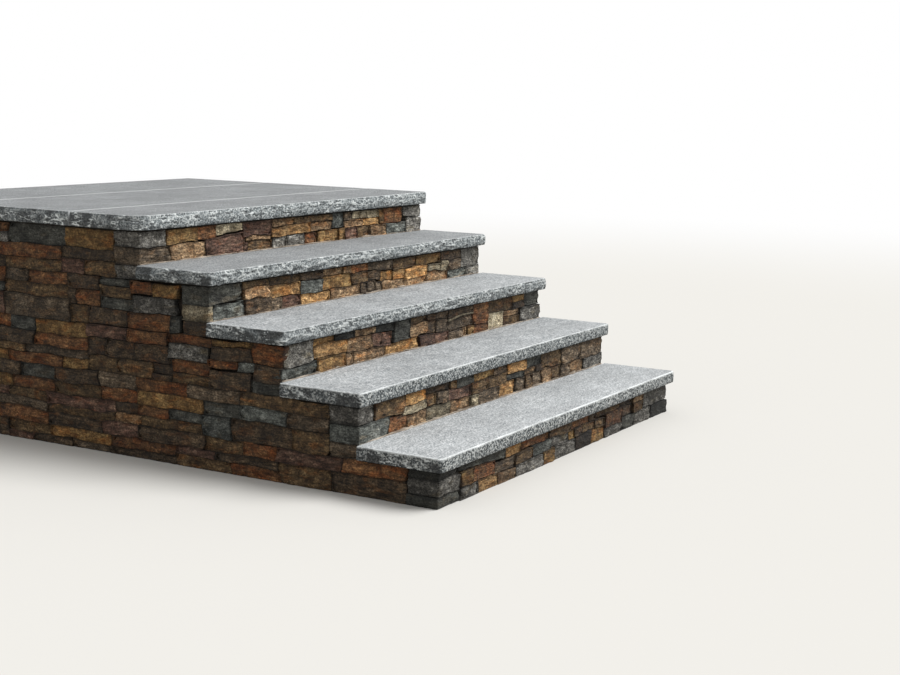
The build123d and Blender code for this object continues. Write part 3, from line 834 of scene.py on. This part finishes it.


# Listed from left to right: kind, shade, low and high along in mm from the left end of the wall,
# low and high above the tread, and how much the bottom and the top rise over the stone's length.
# Quoins are the corner stones at the two ends.
ochre, golden, rust, tan, brown, umber, purple, charcoal, slate, grey, drab, cream = kindNames
risers = {
    5: dict(
        left=[(grey, 0, 0, 156, 66, 126), (drab, 0, 0, 178, -4, 64)],
        right=[(grey, 1, 1915, 2090, 69, 126), (grey, 2, 1950, 2090, -4, 67)],
        stones=[
            (ochre, 0, 156, 350, 65, 126), (rust, 3, 350, 468, 70, 126),
            (cream, 2, 468, 655, 86, 126, 14, 0), (purple, -1, 655, 850, 63, 126),
            (tan, 2, 675, 850, 43, 62), (tan, 0, 850, 1004, 96, 126), (brown, 0, 1004, 1314, 93, 126),
            (golden, -1, 850, 1147, 51, 94), (tan, 0, 1147, 1314, 51, 92),
            (slate, -1, 1314, 1405, 58, 126), (drab, 1, 1405, 1474, 86, 126),
            (cream, 3, 1474, 1534, 86, 126), (cream, -2, 1534, 1598, 86, 126),
            (cream, 2, 1598, 1707, 86, 126), (tan, 3, 1405, 1562, 51, 84), (golden, 3, 1562, 1707, 51, 84),
            (ochre, -2, 1707, 1747, 51, 126), (rust, 1, 1747, 1913, 50, 126), (tan, 1, 178, 402, -4, 63),
            (purple, 0, 402, 655, -4, 78, 0, 16), (purple, 0, 655, 690, -4, 42),
            (brown, 1, 690, 862, -4, 42), (grey, 3, 862, 964, -4, 49), (grey, 1, 968, 1097, -4, 49),
            (rust, 0, 1102, 1194, -4, 45), (ochre, 1, 1210, 1362, -4, 50, 0, 8),
            (ochre, 1, 1362, 1408, -4, 56), (purple, 2, 1408, 1518, -4, 49),
            (brown, 1, 1518, 1620, -4, 49), (tan, 0, 1632, 1768, -4, 49), (slate, 1, 1772, 1944, -4, 48),
        ]),
    4: dict(
        left=[(charcoal, 2, 0, 207, 62, 132, 12, 0), (cream, -1, 0, 30, -4, 58), (slate, 0, 30, 222, -4, 56)],
        right=[(grey, 0, 1908, 2090, 46, 132), (grey, 2, 1964, 2090, -4, 44)],
        stones=[
            (brown, 0, 207, 374, 102, 132), (brown, -1, 374, 590, 98, 132), (umber, 1, 590, 750, 98, 132),
            (tan, 0, 750, 905, 103, 132), (tan, 5, 905, 960, 103, 132), (rust, 5, 960, 1093, 101, 132),
            (drab, -1, 1093, 1300, 96, 132, -6, 0), (brown, 0, 1300, 1480, 88, 132),
            (ochre, -2, 1496, 1720, 86, 132), (umber, 0, 1720, 1906, 92, 132), (tan, 4, 222, 380, 54, 101),
            (golden, -1, 380, 588, 44, 97), (slate, 0, 588, 750, 44, 97, 6, 0),
            (ochre, 2, 750, 960, 49, 102), (brown, 0, 960, 1089, 51, 100), (umber, 1, 1089, 1205, 54, 95),
            (ochre, 3, 1205, 1300, 45, 91), (golden, 0, 1300, 1398, 45, 87),
            (golden, 3, 1398, 1592, 32, 85), (cream, -2, 1606, 1724, 50, 80),
            (cream, -2, 1724, 1786, 44, 91), (drab, 0, 1786, 1906, 44, 91), (umber, 1, 222, 397, -4, 53),
            (drab, 5, 397, 464, -4, 43), (purple, -1, 464, 590, -4, 42), (golden, 2, 590, 802, -4, 44),
            (tan, 1, 808, 1030, -4, 47), (umber, -1, 1030, 1090, -4, 50), (drab, -1, 1090, 1154, -4, 53),
            (drab, 0, 1154, 1210, -4, 44), (tan, 0, 1217, 1400, -4, 44), (tan, 3, 1400, 1594, -4, 31),
            (tan, 1, 1594, 1790, -4, 46), (slate, 1, 1798, 1964, -4, 43),
        ]),
    3: dict(
        left=[(grey, 1, 14, 210, 46, 132), (slate, -2, 0, 234, -4, 44)],
        right=[(charcoal, 1, 1932, 2090, 69, 132), (grey, -1, 1888, 2090, -4, 67)],
        stones=[
            (ochre, 1, 210, 344, 103, 132), (charcoal, -4, 344, 480, 103, 132),
            (tan, 0, 480, 635, 105, 132), (charcoal, -3, 635, 762, 104, 132),
            (charcoal, 0, 770, 902, 51, 132), (brown, 0, 902, 1030, 100, 132),
            (umber, 1, 1030, 1214, 102, 132), (umber, 0, 1214, 1437, 98, 132),
            (rust, 0, 1437, 1574, 35, 132), (brown, -2, 1574, 1817, 71, 132),
            (ochre, 0, 1817, 1930, 102, 132), (golden, 0, 210, 430, 50, 102), (tan, -1, 430, 604, 48, 103),
            (purple, 1, 612, 692, 46, 102), (purple, 2, 692, 760, 46, 102), (tan, 1, 902, 1040, 50, 99),
            (umber, 1, 1040, 1112, 44, 101), (drab, -2, 1112, 1210, 46, 101),
            (cream, -3, 1214, 1437, 86, 97), (drab, -2, 1220, 1432, 34, 84),
            (umber, -3, 1817, 1930, 69, 101), (ochre, 1, 234, 420, -4, 49), (tan, -1, 420, 472, -4, 47),
            (tan, 3, 478, 563, -4, 47), (tan, -2, 563, 706, -4, 45), (golden, 1, 716, 970, -4, 49),
            (purple, -3, 978, 1102, -4, 44), (purple, 1, 1102, 1220, -4, 44),
            (drab, 4, 1220, 1334, -4, 33), (tan, 1, 1334, 1376, -4, 33), (ochre, 0, 1382, 1437, -4, 33),
            (rust, -1, 1437, 1571, -4, 34), (cream, 3, 1574, 1730, -4, 70), (tan, 0, 1730, 1885, 42, 69),
            (brown, 1, 1730, 1887, -4, 41),
        ]),
    2: dict(
        left=[(grey, -1, 0, 110, 64, 132), (slate, 0, 0, 207, -4, 62)],
        right=[(drab, 0, 1850, 2090, 57, 132), (grey, -1, 1893, 2090, -4, 56)],
        stones=[
            (brown, 1, 110, 312, 63, 132), (golden, 3, 312, 468, 85, 132), (cream, -1, 312, 470, 52, 84),
            (umber, -1, 470, 650, 97, 132), (brown, 0, 470, 548, 51, 96), (drab, 0, 548, 640, 51, 96),
            (brown, 2, 650, 704, 99, 132), (charcoal, 1, 704, 847, 98, 132),
            (ochre, 0, 847, 1012, 98, 132), (umber, 4, 1012, 1127, 99, 132),
            (golden, 2, 1127, 1298, 88, 132), (charcoal, 0, 1298, 1457, 85, 132),
            (brown, -1, 1457, 1658, 62, 132), (drab, 2, 1658, 1840, 58, 132),
            (purple, 0, 640, 832, 50, 98), (brown, 0, 838, 966, 48, 97), (brown, 0, 966, 1124, 50, 98),
            (charcoal, -1, 1124, 1290, 60, 86), (brown, 0, 1290, 1400, 57, 84),
            (umber, 0, 1400, 1457, 58, 84), (rust, 0, 207, 342, -4, 58), (tan, -1, 342, 478, -4, 50),
            (cream, -4, 478, 655, -4, 49), (tan, -1, 655, 815, -4, 48), (cream, 0, 818, 882, -4, 47),
            (drab, 0, 884, 1060, -4, 49), (golden, 0, 1060, 1190, -4, 56), (drab, 0, 1212, 1300, -4, 56),
            (brown, 0, 1300, 1370, -4, 56), (drab, 1, 1370, 1462, -4, 57), (tan, -1, 1462, 1568, -4, 60),
            (brown, -2, 1568, 1640, -4, 58), (drab, 1, 1640, 1738, -4, 56), (tan, -1, 1738, 1884, -4, 55),
        ]),
    1: dict(
        left=[(charcoal, -1, 0, 143, 103, 132), (grey, -1, 0, 152, 43, 102), (charcoal, 1, 0, 152, 0, 42)],
        right=[(grey, -2, 1815, 2090, 61, 132), (charcoal, -3, 1897, 2090, 0, 60)],
        stones=[
            (charcoal, 2, 143, 503, 103, 132, -10, 0), (golden, 1, 503, 622, 93, 132),
            (rust, 1, 622, 862, 97, 132), (brown, 0, 862, 1058, 97, 132), (rust, 1, 1058, 1240, 98, 132),
            (umber, 0, 1240, 1310, 101, 132), (brown, 0, 1310, 1540, 106, 132),
            (umber, 0, 1540, 1690, 108, 132), (tan, 0, 1690, 1797, 106, 132),
            (ochre, -2, 152, 248, 49, 105), (rust, 0, 248, 410, 52, 103), (drab, 0, 410, 572, 47, 91),
            (brown, 0, 580, 717, 51, 92), (slate, 0, 717, 880, 53, 96), (grey, 0, 880, 1040, 56, 96),
            (ochre, 1, 1043, 1100, 58, 96), (umber, 1, 1100, 1170, 60, 97),
            (brown, 0, 1170, 1290, 62, 100), (brown, -1, 1290, 1400, 62, 100),
            (rust, -2, 1400, 1572, 45, 105), (umber, 0, 1572, 1690, 63, 107),
            (ochre, -3, 1690, 1797, 61, 105), (grey, 0, 152, 287, 0, 48), (golden, -1, 290, 434, 0, 50),
            (tan, -1, 434, 580, 0, 46), (grey, 0, 584, 802, 0, 50), (ochre, 0, 808, 905, 0, 54),
            (grey, 0, 910, 1104, 0, 57), (umber, -3, 1108, 1254, 0, 61), (ochre, 0, 1258, 1398, 0, 61),
            (grey, 0, 1400, 1582, 0, 44), (charcoal, 1, 1584, 1720, 0, 62), (grey, 0, 1720, 1895, 0, 60),
        ]),
}

# The left wall, listed stone by stone where it shows: kind, shade, low and high distance behind the first
# nosing, low and high above the ground.
leftWallByHand = [
    (rust, -1, 697, 832, 430, 511), (ochre, -1, 832, 1020, 484, 511), (umber, 0, 832, 1022, 431, 483),
    (rust, -2, 1022, 1243, 474, 511), (grey, -1, 1038, 1232, 414, 473), (umber, 0, 1232, 1400, 388, 458),
    (rust, -1, 1243, 1440, 459, 511), (umber, 0, 697, 825, 364, 429), (slate, -1, 825, 902, 392, 430),
    (rust, -1, 902, 1037, 400, 430), (rust, -2, 1037, 1217, 362, 413), (umber, 0, 1217, 1232, 388, 413),
    (umber, -1, 1217, 1315, 348, 387), (brown, 0, 1315, 1495, 322, 387), (charcoal, 1, 697, 840, 322, 363),
    (umber, 0, 840, 1037, 322, 391), (brown, -1, 1037, 1217, 322, 361), (umber, 0, 1217, 1315, 322, 347),
    (umber, 0, 1400, 1560, 388, 458), (brown, -1, 1495, 1650, 322, 387),
    (purple, -1, 1440, 1650, 459, 511), (umber, -1, 1560, 1650, 388, 458),
    (charcoal, 0, 1175, 1230, 513, 580), (rust, -1, 1230, 1440, 513, 580),
    (grey, -3, 1195, 1413, 581, 646), (ochre, -1, 1175, 1311, 647, 702), (rust, 0, 1311, 1421, 653, 702),
    (charcoal, 1, 1413, 1577, 581, 626), (brown, 0, 1421, 1577, 627, 672),
    (umber, 0, 1440, 1640, 513, 580), (charcoal, 0, 1421, 1577, 673, 702),
    (rust, -1, 1577, 1700, 581, 646), (umber, 0, 1577, 1740, 647, 702), (brown, -1, 1640, 1740, 513, 580),
    (umber, 0, 1700, 1740, 581, 646),
]
leftWallLaidTo = {3: 1650.0, 4: 1740.0}          # where they end, in the lifts of these steps

# kinds of all other wall stones, and how often each comes
wallKinds = [
    (brown, 0.27), (umber, 0.24), (rust, 0.20), (ochre, 0.07), (drab, 0.07), (purple, 0.07), (charcoal, 0.05),
    (slate, 0.01), (tan, 0.01), (grey, 0.01),
]
layingLook = dict(
    course=56.0,                # height of a course,
    countVaries=0.4,            # how far the number of courses may stray from what that gives,
    courseShares=(0.7, 1.3),    # and how unlike in height they are
    panel=(260.0, 640.0),       # length of a panel, whose courses have their own heights
    stone=(130.0, 360.0),       # length of a stone
    shortest=90.0,
    shades=(-2, 2),             # from the first up to below the second
    halves=(0.40, 0.60),        # where a lift is parted, as a share of its height
)


def layStones(chance, stones, a0, a1, h0, h1, kinds=wallKinds, look=layingLook):
    # Adds a length of wall to the stones: panels, each of one or a few low courses of its own heights, and
    # each course chopped into long flat stones. A stone is of another kind than those that it touches.
    names, weights = zip(*kinds)
    weights = np.array(weights) / sum(weights)
    panelStart = a0
    while a1 - panelStart > 1:
        length = chance.uniform(*look["panel"])
        panelEnd = a1 if a1 - panelStart - length < look["panel"][0] else panelStart + length
        varies = look["countVaries"]
        count = max(1, int(round((h1 - h0) / look["course"] + chance.uniform(-varies, varies))))
        shares = chance.uniform(*look["courseShares"], count)
        cuts = h0 + (h1 - h0) * np.concatenate(([0.0], np.cumsum(shares) / sum(shares)))
        for bottom, top in zip(cuts, cuts[1:]):
            place = panelStart
            while panelEnd - place > 1:
                length = chance.uniform(*look["stone"])
                end = panelEnd if panelEnd - place - length < look["shortest"] else place + length
                touching = {other for other, _, near, far, low, high in stones
                            if far > place - 1 and near < end + 1 and high > bottom - 3 and low < top + 3}
                free = weights * [name not in touching for name in names]
                kind = names[chance.choice(len(names), p=free / sum(free))]
                stones.append((kind, chance.integers(*look["shades"]), place, end, bottom, top))
                place = end
        panelStart = panelEnd


def layLift(chance, stones, a0, a1, h0, h1, look=layingLook):
    # a lift in two halves whose panels end in different places, so that no upright joint runs all the way up
    middle = h0 + (h1 - h0) * chance.uniform(*look["halves"])
    layStones(chance, stones, a0, a1, h0, middle)
    layStones(chance, stones, a0, a1, middle, h1)


def onFoot(stones, foot, top, darkerBy, depth):
    # listed stones, set on the foot of their riser and cut off at its top, with their shade lowered by the
    # riser's own darkening, and their tilts and depth
    return [(kind, shade - darkerBy, a0, a1, h0 + foot, min(h1 + foot, top), *(tilts or (0.0, 0.0)), depth)
            for kind, shade, a0, a1, h0, h1, *tilts in stones]


wallLeft, wallFront = boxes["left_corner_1"][0][:2]
wallRight = boxes["right_corner_1"][1][0]
wallWidth = wallRight - wallLeft
wallBack = boxes["back_wall"][1][1]
firstNosing = boxes["tread_1"][0][1] + slabSteps["proud"][0]
riserDepth = boxes["riser_wall_1"][1][1] - boxes["riser_wall_1"][0][1]
treadTop = {step: (boxes[f"tread_{step}"][1][2] if step else 0.0) for step in range(stepCount)}
sunk = 4.0                      # the lowest stones of a riser start this far below the tread in front of it
quoinGap = 5.0                  # a quoin hidden behind that tread ends this far below its top
quoinLength = 190.0

# Risers and the quoins at their ends
for step, laid in risers.items():
    (_, face, low), (_, _, high) = boxes[f"riser_wall_{step}"]
    foot = treadTop[step - 1]
    plane = wallPlane((wallLeft, face, 0), (1, 0, 0), (0, -1, 0))
    limits = (0.0, wallWidth, foot - sunk, high)
    darkerBy = wallLook["riserDarkening"][step - 1]
    stones = onFoot(laid["stones"], foot, high, darkerBy, wallLook["depth"])
    cut = cutStones(stones, plane, limits, wallLook["fineCell"], 100 + step, 100 + step)
    putWall(f"riserStones{step}", f"riser_wall_{step}", "ledgestone", cut, "front")
    for side in ("left", "right"):
        quoins = onFoot(laid[side], foot, high, darkerBy, riserDepth)
        if step > 1:
            kind = (charcoal, umber, grey, drab)[(step + (side == "left")) % 4]
            ends = (0.0, quoinLength) if side == "left" else (wallWidth - quoinLength, wallWidth)
            quoins.append((kind, 0, *ends, low, foot - quoinGap, 0.0, 0.0, riserDepth))
        seed = 200 + 10 * step + len(side)
        cut = cutStones(quoins, plane, limits, wallLook["fineCell"], seed, 100 + step, wallLook,
                        wallLook["quoinCell"])
        putWall(f"{side}CornerStones{step}", f"{side}_corner_{step}", "corner_stone", cut, side, "front")
print("risers and quoins made")


def sideWallStones(side):
    # One lift of stones from each riser's quoins back to the back corner, by distances behind the first
    # nosing. The left wall starts with its stones listed one by one, and its lifts behind them.
    chance = np.random.default_rng(41 if side == "left" else 57)
    backEnd = boxes["back_wall"][0][1] - firstNosing
    laid = list(leftWallByHand) if side == "left" else []
    starts = leftWallLaidTo if side == "left" else {}
    for step in range(1, stepCount + 1):
        low, high = boxes[f"{side}_corner_{step}"]
        layLift(chance, laid, starts.get(step, high[1] - firstNosing), backEnd, low[2], high[2])
    return laid


def putSideWall(side, plane, cell, seed):
    # a side wall's stones, each in the length of wall that its middle is in
    toward = -1 if side == "left" else 1        # the left wall's own plane runs towards the front
    groups = {step: [] for step in range(1, stepCount + 1)}
    for kind, shade, near, far, bottom, top in sideWallStones(side):
        ends = sorted((toward * (near + firstNosing), toward * (far + firstNosing)))
        middle = (near + far) / 2 + firstNosing
        owner = min(step for step in groups
                    if middle < boxes[f"{side}_wall_{step}"][1][1] + 1 or step == stepCount)
        groups[owner].append((kind, shade, *ends, bottom, top, 0.0, 0.0, wallLook["depth"]))
    limits = (*sorted((toward * wallFront, toward * wallBack)), 0.0, boxes[f"{side}_wall_{stepCount}"][1][2])
    for step, stones in groups.items():
        cut = cutStones(stones, plane, limits, cell, seed, seed)
        putWall(f"{side}WallStones{step}", f"{side}_wall_{step}", "ledgestone", cut, side)


putSideWall("left", wallPlane((wallLeft, 0, 0), (0, -1, 0), (-1, 0, 0)), wallLook["fineCell"], 301)
putSideWall("right", wallPlane((wallRight, 0, 0), (0, 1, 0), (1, 0, 0)), wallLook["plainCell"], 302)

# The back wall, whose stones stay behind its face so that it can stand flush against another wall
backLook = dict(wallLook, proud=(-6.0, -3.0), facetDrop=3.0, quoinCell=10.0)
backPlane = wallPlane((0, wallBack, 0), (-1, 0, 0), (0, 1, 0))
chance = np.random.default_rng(71)
low, high = boxes["back_wall"]
lifts = [0.0] + [boxes[f"left_wall_{step}"][1][2] for step in range(1, stepCount + 1)]
stones = []
for bottom, top in zip(lifts, lifts[1:]):
    layLift(chance, stones, low[0], high[0], bottom, top)
stones = [(*s, 0.0, 0.0, wallLook["depth"]) for s in stones]
limits = (wallLeft, wallRight, 0.0, high[2])
cut = cutStones(stones, backPlane, limits, wallLook["plainCell"], 303, 303, backLook)
putWall("backWallStones", "back_wall", "ledgestone", cut, "back")
for side in ("left", "right"):
    low, high = boxes[f"back_{side}_corner"]
    ends = sorted((-low[0], -high[0]))
    quoins = []
    for i, (bottom, top) in enumerate(zip(lifts, lifts[1:])):
        middle = (bottom + top) / 2
        for j, (h0, h1) in enumerate(((bottom, middle), (middle, top))):
            kind = (grey, drab, charcoal, umber, slate)[(3 * i + 2 * j) % 5]
            quoins.append((kind, 0, *ends, h0, h1, 0.0, 0.0, high[1] - low[1]))
    seed = 310 + len(side)
    cut = cutStones(quoins, backPlane, limits, wallLook["plainCell"], seed, 303, backLook,
                    backLook["quoinCell"])
    putWall(f"back{side.capitalize()}CornerStones", f"back_{side}_corner", "corner_stone", cut, side, "back")
print("side and back walls made")


# Pointing along the foot of each riser

beadLook = dict(
    spacing=6.0,
    height=(2.2, 0.9, 60.0),   # mean, share by which it varies, and over which length
    blobs=(5.0, 34.0),         # by how much the lumps of mortar are higher, and their size
    heights=(0.6, 11.0),       # the least and the most
    width=(8.0, 1.1, 55.0),
    middleWidth=0.7,           # shares of the width: in the middle, and the least and the most
    widths=(0.06, 1.6),
    rough=(0.7, 7.0),          # height and size of the dents
    inside=14.0,               # how far it reaches in behind the faces of the stones
    profile=((1.0, 0.0), (1.0, 1.0), (0.0, 1.0), (-0.45, 0.92), (-0.80, 0.62), (-1.0, 0.0)),
)


def pointingBead(name, step, look):
    # A bead of mortar pressed against the stones. Its profile runs from the wall over a rounded top down to
    # the tread: shares of a height and a width that each follow their own noise along the bead.
    face, foot = boxes[f"riser_wall_{step}"][0][1], treadTop[step - 1]
    along = np.arange(wallLeft + 3, wallRight - 2, look["spacing"])
    where = np.column_stack((along, np.full(len(along), 50.0 * step), np.zeros(len(along))))
    (height, varies, length), (blobs, blobSize), (rough, roughSize) = (
        look[key] for key in ("height", "blobs", "rough"))
    height = height * (1 + varies * fractalNoise(where, length, 3, 7))
    height = height + blobs * smoothStep(0.35, 0.9, smoothNoise(where, blobSize, 17))
    height = np.clip(height, *look["heights"])
    width, varies, length = look["width"]
    share = look["middleWidth"] + varies * fractalNoise(where, length, 3, 27)
    width = width * np.clip(share, *look["widths"])
    outward, upward = np.array(look["profile"]).T
    inward = np.where(outward > 0, look["inside"], 0.0)
    y = face + inward + np.minimum(outward, 0.0) * width[:, None]
    z = foot + upward * height[:, None]
    points = np.stack((np.repeat(along[:, None], len(upward), 1), y, z), -1).reshape(-1, 3)
    points[:, 1] += rough * smoothNoise(points, roughSize, 37) * (points[:, 2] > foot)
    ids = np.arange(len(points)).reshape(len(along), -1)
    ring = np.column_stack((ids, ids[:, 0]))
    quads = np.stack((ring[:-1, :-1], ring[:-1, 1:], ring[1:, 1:], ring[1:, :-1]), -1).reshape(-1, 4)
    piece = putMesh(name, dict(points=points * mm, faces=[quads], caps=[ids[:1, ::-1], ids[-1:]],
                               kinds=[np.zeros(len(quads) + 2)], attributes={}), [pointingMortar])
    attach(piece, "root")


for step in range(2, stepCount + 1):
    pointingBead(f"footPointing{step}", step, beadLook)
print("pointing made")

# The beds and cores keep their own meshes
for node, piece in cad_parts.items():
    material = coreConcrete if node.startswith("core") else slabBedMortar if "bed" in node else None
    if material:
        piece.data.materials.clear()
        piece.data.materials.append(material)


# Floor, light and camera

stageLook = dict(
    floorColour="#d9d7d2",
    floorReach=60.0,           # metres
    bounceColour="#8f8c87",    # what the floor sends back up on to the walls
    fadeNear=5.0,              # metres from the steps where the floor starts to fade into the backdrop
    fadeFar=13.0,
    skyLight=0.50,             # strength of the even light from all round
    sunPower=3.1,              # large soft light from high up at the front right
    sunAngle=38.0,
    sunFrom=(0.38, -0.55, 0.88),
)


def seenRays(tree):
    # 1 for rays that come from the camera, straight or by way of a mirror or glass, and 0 for others
    path = addNode(tree, "LightPath")
    seen = path.outputs["Is Camera Ray"]
    for ray in ("Is Glossy Ray", "Is Transmission Ray"):
        seen = addNode(tree, "Math", {0: seen, 1: path.outputs[ray]}, operation="MAXIMUM").outputs[0]
    return seen


def paleFloor(look):
    # matt pale floor, darker for the light that it sends up, and white far from the steps
    material, tree = newMaterial("paleFloor")
    seen = seenRays(tree)
    bounce, shown = linear(look["bounceColour"]), linear(look["floorColour"])
    colour = addNode(tree, "Mix", {"Factor": seen, "A": bounce, "B": shown}, data_type="RGBA")
    matt = addNode(tree, "BsdfDiffuse", {"Color": colour.outputs["Result"]})
    place = addNode(tree, "TexCoord").outputs["Object"]
    distance = addNode(tree, "VectorMath", {0: place}, operation="LENGTH").outputs["Value"]
    fade = addNode(tree, "MapRange", {
        "Value": distance, "From Min": look["fadeNear"], "From Max": look["fadeFar"]},
        interpolation_type="SMOOTHSTEP")
    fade = addNode(tree, "Math", {0: fade, 1: seen}, operation="MULTIPLY")
    white = addNode(tree, "Emission", {"Color": (1, 1, 1, 1), "Strength": 1.0})
    both = addNode(tree, "MixShader", {0: fade, 1: matt, 2: white})
    addNode(tree, "OutputMaterial", {"Surface": both})
    return material


reach = stageLook["floorReach"]
floorMesh = bpy.data.meshes.new("floor")
floorMesh.from_pydata([(-reach, -reach, 0), (reach, -reach, 0), (reach, reach, 0), (-reach, reach, 0)], [],
                      [(0, 1, 2, 3)])
floorMesh.materials.append(paleFloor(stageLook))
floor = putObject("floor", floorMesh)
floor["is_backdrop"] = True

world = bpy.data.worlds.new("studio")
bpy.context.scene.world = world
world.use_nodes = True
tree = world.node_tree
tree.nodes.clear()
lighting, backdrop = (addNode(tree, "Background", {"Color": (1, 1, 1, 1), "Strength": strength})
                      for strength in (stageLook["skyLight"], 1.0))
both = addNode(tree, "MixShader", {0: seenRays(tree), 1: lighting, 2: backdrop})
addNode(tree, "OutputWorld", {"Surface": both})

sunData = bpy.data.lights.new("softSun", "SUN")
sunData.energy = stageLook["sunPower"]
sunData.angle = math.radians(stageLook["sunAngle"])
sun = putObject("softSun", sunData)
sun.rotation_mode = "QUATERNION"
sun.rotation_quaternion = Vector(stageLook["sunFrom"]).to_track_quat("Z", "Y")

# place in m, angles in degrees, lens and sensor in mm
photoCamera = dict(
    place=(-5.5432, -4.0311, 1.4334), yaw=29.874, pitch=8.968, roll=1.186, lens=61.52, sensor=36.0)


def placeCamera(look):
    # looks along yaw (from +X towards +Y) and down by pitch, then rolls about the line of sight
    yaw, pitch, roll = (math.radians(look[key]) for key in ("yaw", "pitch", "roll"))
    forward = np.array((math.cos(yaw) * math.cos(pitch), math.sin(yaw) * math.cos(pitch), -math.sin(pitch)))
    right = np.cross(forward, up)
    right /= np.linalg.norm(right)
    top = np.cross(right, forward)
    rolledRight = math.cos(roll) * right + math.sin(roll) * top
    rolledTop = math.cos(roll) * top - math.sin(roll) * right
    data = bpy.data.cameras.new("photoCamera")
    data.lens = look["lens"]
    data.sensor_width = look["sensor"]
    camera = putObject("photoCamera", data)
    matrix = np.eye(4)
    matrix[:3] = np.column_stack((rolledRight, rolledTop, -forward, look["place"]))
    camera.matrix_world = Matrix(matrix.tolist())
    bpy.context.scene.camera = camera


placeCamera(photoCamera)
bpy.context.scene.view_settings.view_transform = "Standard"
print("stage, light and camera set")

total = 0
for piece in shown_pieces():
    piece.data.calc_loop_triangles()
    total += len(piece.data.loop_triangles)
print("triangles:", total)
